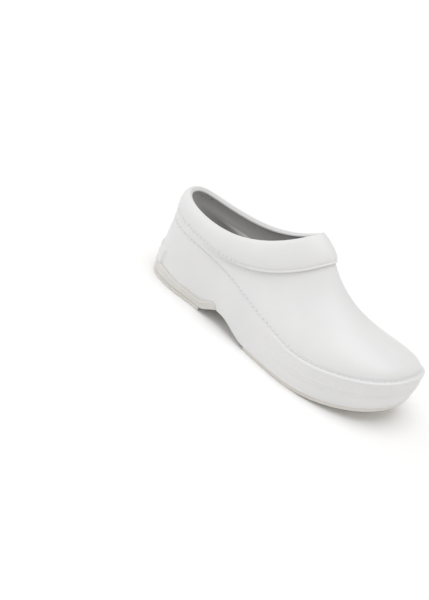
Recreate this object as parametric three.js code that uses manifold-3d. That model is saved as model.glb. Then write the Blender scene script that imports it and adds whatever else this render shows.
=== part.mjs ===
// Nursing shoe: a closed-back, closed-toe work clog for the right foot, moulded in white foam.
// Millimetres. +X runs from heel to toe, +Z is up, -Y is the outer side of the foot.
// The origin is on the ground, in the middle of the shoe's box.
import * as THREE from 'three';
import { mergeVertices } from 'three/addons/utils/BufferGeometryUtils.js';
import Module from 'manifold-3d';

const wasm = await Module();
wasm.setup();

// Driving dimensions of the last and the sole
const LENGTH = 275;
const BALL_WIDTH = 107;
const HEEL_WIDTH = 75;
const TOE_SPRING = 20;
const ARCH_RISE = 9;
const SIDE_HEIGHT = 50.2;
const SIDE_TUCK = 3;

// Wall, steps and clearances
const WALL = 3.4;
const CLEARANCE = 0.3;
const LEDGE_WIDTH = 4;
const LEDGE_DROP = 1.2;
const RIB_HEIGHT = 0.6;
const CUFF_STEP = 1.5;
const CUFF_STEP_RISE = 0.8;
const LIP_RADIUS = 3.6;

// Swell of the cuff: how upright it starts, how it flares, and how it turns in to the collar
const CUFF_HOLD = 0.42;
const CUFF_FLARE = 0.20;
const CUFF_BULGE = 5.0;
const CUFF_FRONT_BULGE = -2.0;
const CUFF_DROP = 1.0;
const CUFF_FRONT_DROP = 0.5;
const CUFF_STEP_FADE = [-0.55, -0.05];

// Heel rim and kick tab
const RIM_HEIGHT = 10.6;
const RIM_PROUD = 2;
const RIM_BACK_RISE = 3;
const RIM_BREAST_RISE = 7;
const RIM_EDGE = 1.2;
const TAB_WIDTH = 60;
const TAB_HEIGHT = 29;
const TAB_PROUD = 1.8;

// Tread, footbed and insole
const PAD_THICKNESS = 3.5;
const GROOVE_WIDTH = 3;
const GROOVE_DEPTH = 2;
const GROOVE_PITCH = 13;
const TREAD_BORDER = 7;
const HEEL_SEAT = 22;
const BALL_SEAT = 15;
const CUP_DEPTH = 5;
const INSOLE_THICKNESS = 4;
const INSOLE_LIFT = 0.5;

// Cuff line, where the band round the collar starts, and the collar's top line.
// start and end lie along the shoe; back, side and front are heights; slope is how much the
// height gains toward the front at the side; full makes the back of the oval squarer.
const CUFF_LINE = {
  start: 4, end: 165.5, width: 68.5, offset: 0, back: 65, side: 58.5, front: 95.5, slope: 7, full: 0.7,
};
const COLLAR_LINE = {
  start: 7, end: 145, width: 55, offset: 1, back: 84, side: 78.8, front: 113, slope: 11.4, full: 0.4,
};

// One row for each section round the shoe, from the heel along the outer side to the toe and back.
// along: share of LENGTH, across: share of the local width, angle: degrees round the collar,
// side: share of SIDE_HEIGHT, tuck: share of SIDE_TUCK outward, flare and lean: degrees of the
// side wall at its foot and top, rise and reach: shares of the span from seam to cuff line,
// splay: degrees of the vamp under the cuff, ledge: share of LEDGE_WIDTH.
const COLUMNS = [
  'along', 'across', 'angle', 'side', 'tuck', 'flare', 'lean', 'rise', 'reach', 'splay', 'ledge',
];
const SECTIONS = [
  [0.000, 0.000, 180, 1.00, -0.50, 3, 3, 0.33, 0.33, 4, 0],      // heel back
  [0.040, -0.350, 150, 0.98, -0.80, 3, 7, 0.33, 0.33, 8, 0],     // heel corner, outer
  [0.165, -0.500, 124, 0.92, -1.00, 3, 9, 0.33, 0.33, 10, 0],    // heel side, outer
  [0.335, -0.470, 90, 0.82, -0.70, 3, 12, 0.33, 0.33, 14, 0],    // waist, outer
  [0.500, -0.440, 64, 0.64, -0.33, 3, 13, 0.33, 0.33, 16, 0],    // instep, outer
  [0.660, -0.490, 45, 0.54, 0.00, 3, 8, 0.25, 0.30, 20, 0.6],    // ball, outer
  [0.815, -0.440, 30, 0.55, 0.50, 6, 5, 0.19, 0.40, 32, 1],      // toe corner, outer
  [0.945, -0.255, 14, 0.54, 0.83, 8, 6, 0.18, 0.50, 38, 1],      // toe side, outer
  [0.990, 0.030, 0, 0.53, 0.67, 9, 6, 0.18, 0.54, 40, 1],        // toe tip
  [0.962, 0.270, -14, 0.53, 0.83, 8, 4, 0.18, 0.55, 36, 1],      // toe side, inner
  [0.870, 0.425, -28, 0.53, 0.50, 6, 4, 0.21, 0.52, 30, 1],      // toe corner, inner
  [0.730, 0.470, -43, 0.54, 0.00, 3, 8, 0.27, 0.35, 17, 0.6],    // ball, inner
  [0.545, 0.415, -63, 0.63, -0.33, 3, 12, 0.33, 0.33, 16, 0],    // instep, inner
  [0.360, 0.420, -89, 0.81, -0.70, 3, 12, 0.33, 0.33, 14, 0],    // waist, inner
  [0.170, 0.490, -124, 0.92, -1.00, 3, 9, 0.33, 0.33, 10, 0],    // heel side, inner
  [0.040, 0.350, -150, 0.98, -0.80, 3, 7, 0.33, 0.33, 8, 0],     // heel corner, inner
];
const COUNT = SECTIONS.length;
const TOE = COUNT / 2;
const TURN = 360 / COUNT;

// How firmly a section turns in from the outline before it heads for the cuff
const INWARD_PULL = 12;

const UP = new THREE.Vector3(0, 0, 1);
const radians = THREE.MathUtils.degToRad;
const mix = THREE.MathUtils.lerp;
const clamp = THREE.MathUtils.clamp;
const smooth = (value, from, to) => THREE.MathUtils.smoothstep(value, from, to);
const vector = (x, y, z) => new THREE.Vector3(x, y, z);
const plus = (point, direction, amount) => point.clone().addScaledVector(direction, amount);

// A smooth closed curve through one value a section, with continuous curvature.
function closedSpline(values) {
  const n = values.length;
  const at = (list, i) => list[(i + n) % n];
  const bend = values.map(() => 0);
  for (let round = 0; round < 60; round += 1) {
    for (let i = 0; i < n; i += 1) {
      const pull = 6 * (at(values, i - 1) - 2 * values[i] + at(values, i + 1));
      bend[i] = (pull - at(bend, i - 1) - at(bend, i + 1)) / 4;
    }
  }
  return (u) => {
    const i = Math.floor(u);
    const t = u - i;
    const s = 1 - t;
    return s * at(values, i % n) + t * at(values, (i % n) + 1)
      + ((s ** 3 - s) * at(bend, i % n) + (t ** 3 - t) * at(bend, (i % n) + 1)) / 6;
  };
}

const column = (name) => SECTIONS.map((row) => row[COLUMNS.indexOf(name)]);
const curves = Object.fromEntries(COLUMNS.map((name) => [name, closedSpline(column(name))]));
curves.angle = closedSpline(column('angle').map((angle, i) => angle - 180 + TURN * i));

// Ground lines of the sole, as functions of x from the heel, and where along the shoe they change
const SPRING_START = 0.69;
const ARCH_UP = [0.285, 0.36];
const ARCH_DOWN = [0.375, 0.50];
const RIM_BACK = [0.08, 0.20];
const RIM_UP = [0.275, 0.335];
const RIM_DOWN = [0.34, 0.395];
const RIM_FADE = [0.26, 0.52];
const SEAT_FALL = [0.15, 0.60];
const CUP_FADE = [0.30, 0.60];
const FOOTBED_SPRING = 0.85;

const spring = (x) => TOE_SPRING * Math.max(0, (x / LENGTH - SPRING_START) / (1 - SPRING_START)) ** 2;

function arch(x) {
  const share = x / LENGTH;
  return ARCH_RISE * smooth(share, ...ARCH_UP) * (1 - smooth(share, ...ARCH_DOWN));
}

const underside = (x) => PAD_THICKNESS + CLEARANCE + spring(x) + arch(x);

// Top of the heel rim: level at the heel, up over the breast, then down into the arch.
function rimTop(x) {
  const share = x / LENGTH;
  return RIM_HEIGHT + RIM_BACK_RISE * (1 - smooth(share, ...RIM_BACK))
    + RIM_BREAST_RISE * smooth(share, ...RIM_UP)
    - (RIM_HEIGHT + 2 * RIM_BREAST_RISE) * smooth(share, ...RIM_DOWN);
}

const rimShare = (x) => 1 - smooth(x / LENGTH, ...RIM_FADE);

// Footbed height, with a cup round the heel
function footbed(x, y) {
  const share = x / LENGTH;
  const acrossCup = Math.min(1, Math.abs(y) / (HEEL_WIDTH / 2)) ** 4;
  const cup = CUP_DEPTH * (1 - smooth(share, ...CUP_FADE)) * acrossCup;
  return mix(HEEL_SEAT, BALL_SEAT, smooth(share, ...SEAT_FALL)) + FOOTBED_SPRING * spring(x) + cup;
}

// Outline of the sole on the ground and its outward direction
const WIDENING = [0.20, 0.55];

function outline(u) {
  const place = (v) => {
    const along = curves.along(v);
    const width = mix(HEEL_WIDTH, BALL_WIDTH, smooth(along, ...WIDENING));
    return vector(along * LENGTH, curves.across(v) * width, 0);
  };
  const step = 0.001;
  const tangent = place(u + step).sub(place(u + COUNT - step)).normalize();
  return { point: place(u), outward: vector(tangent.y, -tangent.x, 0) };
}

// A line round the collar at an angle: 0 in front, 180 at the back.
function collarPoint(line, angle) {
  const c = Math.cos(angle);
  const s = Math.sin(angle);
  const power = 2 / (2 + line.full * smooth(-c, -0.2, 1));
  const round = (value) => Math.sign(value) * Math.abs(value) ** power;
  const height = line.side + line.slope * c
    + ((line.front + line.back) / 2 - line.side) * c ** 2
    + ((line.front - line.back) / 2 - line.slope) * c ** 3;
  return vector(
    mix(line.start, line.end, (1 + round(c)) / 2),
    line.offset - round(s) * line.width / 2,
    height,
  );
}

// The three curves of one section: side wall, vamp or quarter, and cuff.
// relief 1 gives the outside with its ledge and step, 0 the plain form that the inside follows.
function section(u, relief) {
  const value = Object.fromEntries(COLUMNS.map((name) => [name, curves[name](u)]));
  const { point, outward } = outline(u);
  const ledge = clamp(value.ledge, 0, 1);
  const inset = RIM_PROUD * rimShare(point.x);
  const foot = plus(point, outward, -inset).setZ(underside(point.x));
  const seamHeight = PAD_THICKNESS + CLEARANCE + spring(point.x) + value.side * SIDE_HEIGHT;
  const seam = plus(point, outward, value.tuck * SIDE_TUCK - inset).setZ(seamHeight);
  const height = seam.z - foot.z;
  const flare = radians(value.flare);
  const lean = radians(value.lean);
  const wallTop = (angle) => vector(0, 0, Math.cos(angle)).addScaledVector(outward, -Math.sin(angle));
  const leanOut = lean * (1 - ledge * relief);
  const rise = wallTop(lean);
  const start = seam.clone();
  start.addScaledVector(outward, -LEDGE_WIDTH * ledge).addScaledVector(UP, -LEDGE_DROP * ledge);
  start.addScaledVector(rise, LEDGE_DROP * (1 - ledge));
  const top = relief ? seam : start;
  const side = [
    foot,
    plus(foot, wallTop(-flare), 0.33 * height),
    plus(top, wallTop(leanOut), -0.33 * height),
    top,
  ];

  const angle = radians(curves.angle(u) + 180 - TURN * u);
  const cuff = collarPoint(CUFF_LINE, angle);
  const collar = collarPoint(COLLAR_LINE, angle);
  const span = cuff.distanceTo(start);
  const inward = cuff.clone().sub(start).setZ(0).addScaledVector(outward, -INWARD_PULL).normalize();
  const startDirection = outward.clone().multiplyScalar(-(1 - ledge)).addScaledVector(inward, ledge);
  const splay = radians(value.splay);
  const vamp = [
    start,
    plus(start, UP, value.rise * span * Math.cos(lean))
      .addScaledVector(startDirection, value.rise * span * Math.sin(lean)),
    plus(cuff, UP, -value.reach * span * Math.cos(splay))
      .addScaledVector(inward, -value.reach * span * Math.sin(splay)),
    cuff,
  ];

  const radial = vector(
    Math.cos(angle) / (CUFF_LINE.end - CUFF_LINE.start),
    -Math.sin(angle) / CUFF_LINE.width,
    0,
  ).normalize();
  const front = Math.max(0, Math.cos(angle)) ** 2;
  const step = relief * CUFF_STEP * smooth(Math.cos(angle), ...CUFF_STEP_FADE) * (1 - 0.3 * front);
  const cuffStart = plus(cuff, radial, step).addScaledVector(UP, CUFF_STEP_RISE * relief);
  const cuffHeight = collar.z - cuffStart.z;
  const band = [
    cuffStart,
    plus(cuffStart, UP, CUFF_HOLD * cuffHeight)
      .addScaledVector(radial, CUFF_HOLD * cuffHeight * CUFF_FLARE * (1 - front)),
    plus(collar, radial, CUFF_BULGE + CUFF_FRONT_BULGE * front)
      .addScaledVector(UP, -CUFF_DROP - CUFF_FRONT_DROP * front),
    collar,
  ];
  return { side, vamp, band, outward, radial, collar, ledge, point };
}

function bezier([a, b, c, d], t) {
  const s = 1 - t;
  return vector(0, 0, 0)
    .addScaledVector(a, s ** 3)
    .addScaledVector(b, 3 * s * s * t)
    .addScaledVector(c, 3 * s * t * t)
    .addScaledVector(d, t ** 3);
}

// Share of the side wall's curve that lies at a height
function shareAtHeight(side, height) {
  let low = 0;
  let high = 1;
  for (let round = 0; round < 30; round += 1) {
    const middle = (low + high) / 2;
    if (bezier(side, middle).z < height) low = middle;
    else high = middle;
  }
  return low;
}

// Bottom edge of the upper: on the heel rim, and at the underside further forward
const edgeHeight = (x) => Math.max(underside(x), rimTop(x) + CLEARANCE);

// A point of the side wall: share 0 at the upper's bottom edge, 1 at the seam
function sidePoint(cut, share, from = edgeHeight(cut.point.x)) {
  return bezier(cut.side, mix(shareAtHeight(cut.side, from), 1, share));
}

// Sections round the shoe: an even row, with more at the kick tab's edges and the rim's end.
const COLUMNS_PER_SECTION = 4.5;
const RIM_END_SECTIONS = [3.1, 3.3];
const TAB_EDGE = 0.03;

function tabSection() {
  let low = 0;
  let high = 1.5;
  for (let round = 0; round < 30; round += 1) {
    const middle = (low + high) / 2;
    if (-outline(middle).point.y < TAB_WIDTH / 2) low = middle;
    else high = middle;
  }
  return low;
}

function sectionPlaces() {
  const half = [];
  const steps = TOE * COLUMNS_PER_SECTION;
  for (let i = 0; i <= steps; i += 1) half.push(i * TOE / steps);
  const tab = tabSection();
  const extra = [tab - TAB_EDGE, tab + TAB_EDGE, ...RIM_END_SECTIONS];
  const apart = half.filter((u) => u === 0 || extra.every((v) => Math.abs(u - v) > 2 * TAB_EDGE));
  const outer = [...apart, ...extra].sort((a, b) => a - b);
  const inner = outer.filter((u) => u > 0 && u < TOE).map((u) => COUNT - u).reverse();
  return { outer, all: [...outer, ...inner] };
}

const PLACES = sectionPlaces();
const OUTSIDE = PLACES.all.map((u) => section(u, 1));
const PLAIN = PLACES.all.map((u) => section(u, 0));

// Triangles of a surface, gathered as points and turned into one closed mesh
class Skin {
  constructor() {
    this.points = [];
  }

  triangle(a, b, c) {
    const same = (p, q) => p.distanceToSquared(q) < 1e-10;
    if (same(a, b) || same(b, c) || same(c, a)) return;
    for (const p of [a, b, c]) this.points.push(p.x, p.y, p.z);
  }

  quad(a, b, c, d) {
    this.triangle(a, b, c);
    this.triangle(a, c, d);
  }

  // Rings run the same way round; the next ring lies up or inward from the last
  rings(list, closed) {
    const last = closed ? list.length : list.length - 1;
    for (let i = 0; i < last; i += 1) {
      const lower = list[i];
      const upper = list[(i + 1) % list.length];
      for (let j = 0; j < lower.length; j += 1) {
        const k = (j + 1) % lower.length;
        this.quad(lower[j], lower[k], upper[k], upper[j]);
      }
    }
    return this;
  }

  geometry() {
    const flat = new THREE.BufferGeometry();
    flat.setAttribute('position', new THREE.Float32BufferAttribute(this.points, 3));
    return mergeVertices(flat, 1e-4);
  }
}

function toSolid(geometry) {
  const merged = geometry.index ? geometry : mergeVertices(geometry, 1e-4);
  return new wasm.Manifold(new wasm.Mesh({
    numProp: 3,
    vertProperties: new Float32Array(merged.attributes.position.array),
    triVerts: new Uint32Array(merged.index.array),
  }));
}

function toGeometry(solid) {
  const mesh = solid.getMesh();
  const geometry = new THREE.BufferGeometry();
  geometry.setAttribute('position', new THREE.BufferAttribute(mesh.vertProperties.slice(), 3));
  geometry.setIndex(new THREE.BufferAttribute(mesh.triVerts.slice(), 1));
  return geometry;
}

// Upper: one shell of vamp, quarters, counter, forefoot side wall and cuff
const SIDE_ROWS = [0, 0.24, 0.40, 0.46, 0.52, 0.58, 0.80, 1];
const RIB_ROWS = [0.46, 0.58];
const VAMP_SHARES = [0, 0.07, 0.16, 0.28, 0.42, 0.57, 0.72, 0.87, 1];
const CUFF_STEPS = 5;
const LIP_STEPS = 3;
const INNER_VAMP_STEPS = 6;
const INNER_CUFF_SHARES = [0.72, 0.45, 0.2];
const INNER_SIDE_SHARES = [1, 0.66, 0.33, 0];

// Raised shapes of the side wall: the kick tab at the back and two ribs round the forefoot
function sideRelief(cut, share, place) {
  const behind = cut.point.x < 0.1 * LENGTH && Math.abs(cut.point.y) < TAB_WIDTH / 2;
  if (behind && sidePoint(cut, place).z < TAB_HEIGHT) return TAB_PROUD;
  return RIB_ROWS.includes(share) ? RIB_HEIGHT * smooth(cut.ledge, 0.2, 0.8) : 0;
}

// Tab columns have their own rows, so that the tab's top edge is sharp
function sideShare(cut, share) {
  const foot = edgeHeight(cut.point.x);
  const tabShare = (TAB_HEIGHT - foot) / (cut.side[3].z - foot);
  const behind = cut.point.x < 0.1 * LENGTH && cut.ledge < 0.01;
  if (!behind) return share;
  const place = SIDE_ROWS.indexOf(share);
  const lastUnder = 3;
  if (place <= lastUnder) return (place / lastUnder) * (tabShare - 0.01);
  return mix(tabShare + 0.03, 1, (place - lastUnder - 1) / (SIDE_ROWS.length - lastUnder - 2));
}

const steps = (count) => Array.from({ length: count + 1 }, (_, i) => i / count);

function upperGeometry() {
  const rings = [];
  for (const share of SIDE_ROWS) {
    rings.push(OUTSIDE.map((cut) => {
      const place = sideShare(cut, share);
      return plus(sidePoint(cut, place), cut.outward, sideRelief(cut, share, place));
    }));
  }
  for (const t of VAMP_SHARES) rings.push(OUTSIDE.map((cut) => bezier(cut.vamp, t)));
  for (const t of steps(CUFF_STEPS)) rings.push(OUTSIDE.map((cut) => bezier(cut.band, t)));
  for (let i = 1; i <= LIP_STEPS; i += 1) {
    const turn = (i / LIP_STEPS) * Math.PI / 2;
    rings.push(OUTSIDE.map((cut) => plus(cut.collar, cut.radial, -LIP_RADIUS * Math.sin(turn))
      .addScaledVector(UP, -LIP_RADIUS * (1 - Math.cos(turn)))));
  }
  for (const t of INNER_CUFF_SHARES) rings.push(innerRing('band', t));
  for (const t of steps(INNER_VAMP_STEPS).reverse().slice(0, -1)) rings.push(innerRing('vamp', t));
  for (const share of INNER_SIDE_SHARES) rings.push(innerSide(share, WALL));
  return new Skin().rings(rings, true).geometry();
}

// Inside of the vamp or cuff: the plain form, moved in by the wall along its normal
function innerRing(name, t) {
  const small = 0.01;
  return PLACES.all.map((u, i) => {
    const here = bezier(PLAIN[i][name], t);
    const ahead = bezier(section(u + small, 0)[name], t);
    const back = bezier(section(u + COUNT - small, 0)[name], t);
    const above = bezier(PLAIN[i][name], Math.min(1, t + small));
    const below = bezier(PLAIN[i][name], Math.max(0, t - small));
    const normal = ahead.sub(back).cross(above.sub(below)).normalize();
    return plus(here, normal, -WALL);
  });
}

function innerSide(share, depth) {
  return PLAIN.map((cut) => plus(sidePoint(cut, share), cut.outward, -depth));
}

// A slab over part of the sole's outline, from layers of edge points and two height functions
const ACROSS = [0, 0.1, 0.25, 0.42, 0.58, 0.75, 0.9, 1];

function slab(places, layers, under, over) {
  const skin = new Skin();
  const rows = places.map((u) => layers.map((layer, level) => {
    const outer = layer(u);
    const inner = layer((COUNT - u) % COUNT);
    return ACROSS.map((share) => {
      const point = outer.clone().lerp(inner, share);
      if (share > 0 && share < 1 && level === 0) point.z = under(point.x, point.y);
      if (share > 0 && share < 1 && level === layers.length - 1) point.z = over(point.x, point.y);
      return u === 0 || u === TOE ? outer.clone() : point;
    });
  }));
  const top = layers.length - 1;
  const end = ACROSS.length - 1;
  for (let i = 0; i + 1 < rows.length; i += 1) {
    const [here, next] = [rows[i], rows[i + 1]];
    for (let j = 0; j < end; j += 1) {
      skin.quad(here[top][j], next[top][j], next[top][j + 1], here[top][j + 1]);
      skin.quad(here[0][j], here[0][j + 1], next[0][j + 1], next[0][j]);
    }
    for (let k = 0; k < top; k += 1) {
      skin.quad(here[k][0], next[k][0], next[k + 1][0], here[k + 1][0]);
      skin.quad(next[k][end], here[k][end], here[k + 1][end], next[k + 1][end]);
    }
  }
  const [first, last] = [rows[0], rows[rows.length - 1]];
  for (let k = 0; k < top; k += 1) {
    for (let j = 0; j < end; j += 1) {
      skin.quad(last[k][j], last[k][j + 1], last[k + 1][j + 1], last[k + 1][j]);
      skin.quad(first[k][j + 1], first[k][j], first[k + 1][j], first[k + 1][j + 1]);
    }
  }
  return skin.geometry();
}

// Midsole: the block inside the shell, wider at the heel where its rim shows
function edgeLayer(height, inset) {
  return (u) => {
    const cut = PLAIN[PLACES.all.indexOf(u)];
    const out = RIM_PROUD * rimShare(cut.point.x) - inset;
    const z = height(cut.point.x, cut.point.y);
    return plus(sidePoint(cut, 0, z), cut.outward, out).setZ(z);
  };
}

function midsoleGeometry() {
  const above = (x, amount) => Math.max(rimTop(x), underside(x) + 2 * RIM_EDGE) + amount;
  const block = toSolid(slab(PLACES.outer, [
    edgeLayer(underside, RIM_EDGE / 2),
    edgeLayer((x) => underside(x) + RIM_EDGE, 0),
    edgeLayer((x) => above(x, -RIM_EDGE), 0),
    edgeLayer((x) => above(x, CLEARANCE), RIM_EDGE),
    edgeLayer(footbed, RIM_EDGE),
  ], underside, footbed));

  // What the shell's wall takes out of the block, with its clearance
  const far = 8;
  const below = (cut) => Math.min(rimTop(cut.point.x), underside(cut.point.x) + RIM_HEIGHT);
  const inside = INNER_SIDE_SHARES.map((share) => innerSide(share, WALL + CLEARANCE));
  const floor = inside[inside.length - 1].map((point, i) => point.clone().setZ(below(PLAIN[i])));
  const outer = (ring) => ring.map((point, i) => plus(point, PLAIN[i].outward, WALL + far));
  const wallSpace = new Skin()
    .rings([outer(floor), outer(inside[0]), ...inside, floor], true)
    .geometry();
  return toGeometry(block.subtract(toSolid(wallSpace)));
}

// Insole: a loose footbed that fills the shell's floor
function insoleLayer(lift) {
  return (u) => {
    const cut = PLAIN[PLACES.all.indexOf(u)];
    const edge = plus(cut.point, cut.outward, -RIM_PROUD * rimShare(cut.point.x) - WALL);
    const height = footbed(edge.x, edge.y) + lift;
    return plus(sidePoint(cut, 0, height), cut.outward, -WALL - 2 * CLEARANCE).setZ(height);
  };
}

function insoleGeometry() {
  const rest = INSOLE_LIFT;
  const top = INSOLE_LIFT + INSOLE_THICKNESS;
  return slab(
    PLACES.outer,
    [insoleLayer(rest), insoleLayer(top)],
    (x, y) => footbed(x, y) + rest,
    (x, y) => footbed(x, y) + top,
  );
}

// Tread pads under heel and forefoot, with cross grooves
const HEEL_BREAST = 0.285;
const FORE_BREAST = 0.505;

function sectionAtLength(share) {
  let low = 0;
  let high = TOE;
  for (let round = 0; round < 30; round += 1) {
    const middle = (low + high) / 2;
    if (curves.along(middle) < share) low = middle;
    else high = middle;
  }
  return low;
}

function padLayer(height, inset) {
  return (u) => {
    const { point, outward } = outline(u);
    return plus(point, outward, -inset).setZ(height(point.x));
  };
}

function padGeometry(from, to) {
  const places = [from, ...PLACES.outer.filter((u) => u > from + 0.05 && u < to - 0.05), to];
  const pad = toSolid(slab(
    places,
    [padLayer(spring, RIM_EDGE), padLayer((x) => spring(x) + PAD_THICKNESS, RIM_EDGE / 2)],
    spring,
    (x) => spring(x) + PAD_THICKNESS,
  ));
  const fieldUnder = (x) => spring(x) - PAD_THICKNESS;
  const fieldOver = (x) => spring(x) + GROOVE_DEPTH;
  const fieldLayers = [padLayer(fieldUnder, TREAD_BORDER), padLayer(fieldOver, TREAD_BORDER)];
  const field = toSolid(slab(places, fieldLayers, fieldUnder, fieldOver));
  const start = outline(from).point.x;
  const end = outline(to).point.x;
  const count = Math.floor((end - start) / GROOVE_PITCH);
  const first = (start + end - (count - 1) * GROOVE_PITCH) / 2;
  let result = pad;
  for (let i = 0; i < count; i += 1) {
    const bar = new THREE.BoxGeometry(GROOVE_WIDTH, BALL_WIDTH, LENGTH);
    bar.deleteAttribute('normal');
    bar.deleteAttribute('uv');
    bar.translate(first + i * GROOVE_PITCH, 0, 0);
    result = result.subtract(field.intersect(toSolid(mergeVertices(bar))));
  }
  return toGeometry(result);
}

// Colours and finishes
const foam = new THREE.MeshStandardMaterial({ color: 0xe8e8e6, roughness: 0.5, metalness: 0 });
const soleFoam = new THREE.MeshStandardMaterial({ color: 0xe4e3df, roughness: 0.55, metalness: 0 });
const rubber = new THREE.MeshStandardMaterial({ color: 0xd9d3c6, roughness: 0.7, metalness: 0 });
const lining = new THREE.MeshStandardMaterial({ color: 0x1d1d20, roughness: 0.9, metalness: 0 });

const shoe = new THREE.Group();
shoe.name = 'nursing_shoe';

function add(name, geometry, material) {
  const mesh = new THREE.Mesh(geometry, material);
  mesh.name = name;
  shoe.add(mesh);
}

add('upper', upperGeometry(), foam);
add('midsole', midsoleGeometry(), soleFoam);
add('outsole_forefoot', padGeometry(sectionAtLength(FORE_BREAST), TOE), rubber);
add('outsole_heel', padGeometry(0, sectionAtLength(HEEL_BREAST)), rubber);
add('insole', insoleGeometry(), lining);

const middle = new THREE.Box3().setFromObject(shoe).getCenter(vector(0, 0, 0));
shoe.position.set(-middle.x, -middle.y, 0);

const root = new THREE.Group();
root.add(shoe);

export default root;
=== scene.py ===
"""Looks of the nursing shoe: fine surfaces, stitching, tread, materials, light and camera.

Millimetres and the heel-based frame of the part's own functions are used for the shapes:
x runs from the heel to the toe, -y is the outer side, z is up. Points are moved into the
row frame, in metres, when a mesh is made.
"""
import math

import bpy
import numpy as np
from mathutils import Matrix


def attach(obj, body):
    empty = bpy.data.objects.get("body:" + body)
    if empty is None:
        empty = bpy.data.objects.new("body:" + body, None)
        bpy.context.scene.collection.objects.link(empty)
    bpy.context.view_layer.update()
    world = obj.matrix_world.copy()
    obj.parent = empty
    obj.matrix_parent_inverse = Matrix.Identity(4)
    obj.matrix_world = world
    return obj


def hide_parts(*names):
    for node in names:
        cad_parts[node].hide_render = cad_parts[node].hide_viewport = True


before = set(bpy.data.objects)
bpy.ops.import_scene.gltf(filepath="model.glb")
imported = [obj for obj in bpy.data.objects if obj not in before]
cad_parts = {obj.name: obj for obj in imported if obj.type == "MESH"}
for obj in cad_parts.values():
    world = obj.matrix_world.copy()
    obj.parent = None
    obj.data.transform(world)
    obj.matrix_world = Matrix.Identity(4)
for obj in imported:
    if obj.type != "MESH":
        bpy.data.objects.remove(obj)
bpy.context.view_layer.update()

# Driving dimensions, the same as the solids'
LENGTH = 275.0
BALL_WIDTH = 107.0
HEEL_WIDTH = 75.0
TOE_SPRING = 20.0
ARCH_RISE = 9.0
SIDE_HEIGHT = 50.2
SIDE_TUCK = 3.0
WALL = 3.4
CLEARANCE = 0.3
BOND = 0.3
LEDGE_WIDTH = 4.0
LEDGE_DROP = 1.2
RIB_HEIGHT = 0.6
CUFF_STEP = 1.5
CUFF_STEP_RISE = 0.8
CUFF_STEP_FADE = (-0.55, -0.05)
CUFF_STEP_FRONT_LOSS = 0.3
LIP_RADIUS = 3.6
CUFF_HOLD = 0.42
CUFF_FLARE = 0.20
CUFF_BULGE = 5.0
CUFF_FRONT_BULGE = -2.0
CUFF_DROP = 1.0
CUFF_FRONT_DROP = 0.5
RIM_HEIGHT = 10.6
RIM_PROUD = 2.0
RIM_BACK_RISE = 3.0
RIM_BREAST_RISE = 7.0
RIM_EDGE = 1.2
TAB_WIDTH = 60.0
TAB_HEIGHT = 29.0
TAB_PROUD = 1.8
PAD_THICKNESS = 3.5
GROOVE_WIDTH = 3.0
GROOVE_DEPTH = 2.0
GROOVE_PITCH = 13.0
TREAD_BORDER = 7.0
HEEL_SEAT = 22.0
BALL_SEAT = 15.0
CUP_DEPTH = 5.0
INSOLE_THICKNESS = 4.0
INSOLE_LIFT = 0.5
INWARD_PULL = 12.0
SIDE_HANDLE = 0.33
HEEL_BREAST = 0.285
FORE_BREAST = 0.505

# Shares of the length where the ground lines, the heel rim and the footbed change
SPRING_START = 0.69
ARCH_UP = (0.285, 0.36)
ARCH_DOWN = (0.375, 0.50)
RIM_BACK = (0.08, 0.20)
RIM_UP = (0.275, 0.335)
RIM_DOWN = (0.34, 0.395)
RIM_FADE = (0.26, 0.52)
SEAT_FALL = (0.15, 0.60)
CUP_FADE = (0.30, 0.60)
FOOTBED_SPRING = 0.85
WIDENING = (0.20, 0.55)

# Cuff line and collar line: ends along the shoe, width, heights, and how square the back is
CUFF_LINE = dict(
    start=4, end=165.5, width=68.5, offset=0, back=65, side=58.5, front=95.5, slope=7, full=0.7,
)
COLLAR_LINE = dict(
    start=7, end=145, width=55, offset=1, back=84, side=78.8, front=113, slope=11.4, full=0.4,
)

# One row a section round the shoe, from the heel along the outer side to the toe and back
COLUMNS = (
    "along", "across", "angle", "side", "tuck", "flare", "lean", "rise", "reach", "splay", "ledge",
)
SECTIONS = np.array([
    [0.000, 0.000, 180, 1.00, -0.50, 3, 3, 0.33, 0.33, 4, 0],
    [0.040, -0.350, 150, 0.98, -0.80, 3, 7, 0.33, 0.33, 8, 0],
    [0.165, -0.500, 124, 0.92, -1.00, 3, 9, 0.33, 0.33, 10, 0],
    [0.335, -0.470, 90, 0.82, -0.70, 3, 12, 0.33, 0.33, 14, 0],
    [0.500, -0.440, 64, 0.64, -0.33, 3, 13, 0.33, 0.33, 16, 0],
    [0.660, -0.490, 45, 0.54, 0.00, 3, 8, 0.25, 0.30, 20, 0.6],
    [0.815, -0.440, 30, 0.55, 0.50, 6, 5, 0.19, 0.40, 32, 1],
    [0.945, -0.255, 14, 0.54, 0.83, 8, 6, 0.18, 0.50, 38, 1],
    [0.990, 0.030, 0, 0.53, 0.67, 9, 6, 0.18, 0.54, 40, 1],
    [0.962, 0.270, -14, 0.53, 0.83, 8, 4, 0.18, 0.55, 36, 1],
    [0.870, 0.425, -28, 0.53, 0.50, 6, 4, 0.21, 0.52, 30, 1],
    [0.730, 0.470, -43, 0.54, 0.00, 3, 8, 0.27, 0.35, 17, 0.6],
    [0.545, 0.415, -63, 0.63, -0.33, 3, 12, 0.33, 0.33, 16, 0],
    [0.360, 0.420, -89, 0.81, -0.70, 3, 12, 0.33, 0.33, 14, 0],
    [0.170, 0.490, -124, 0.92, -1.00, 3, 9, 0.33, 0.33, 10, 0],
    [0.040, 0.350, -150, 0.98, -0.80, 3, 7, 0.33, 0.33, 8, 0],
])
COUNT = len(SECTIONS)
TOE = COUNT // 2
TURN = 360 / COUNT
UP = np.array([0.0, 0.0, 1.0])

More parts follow.
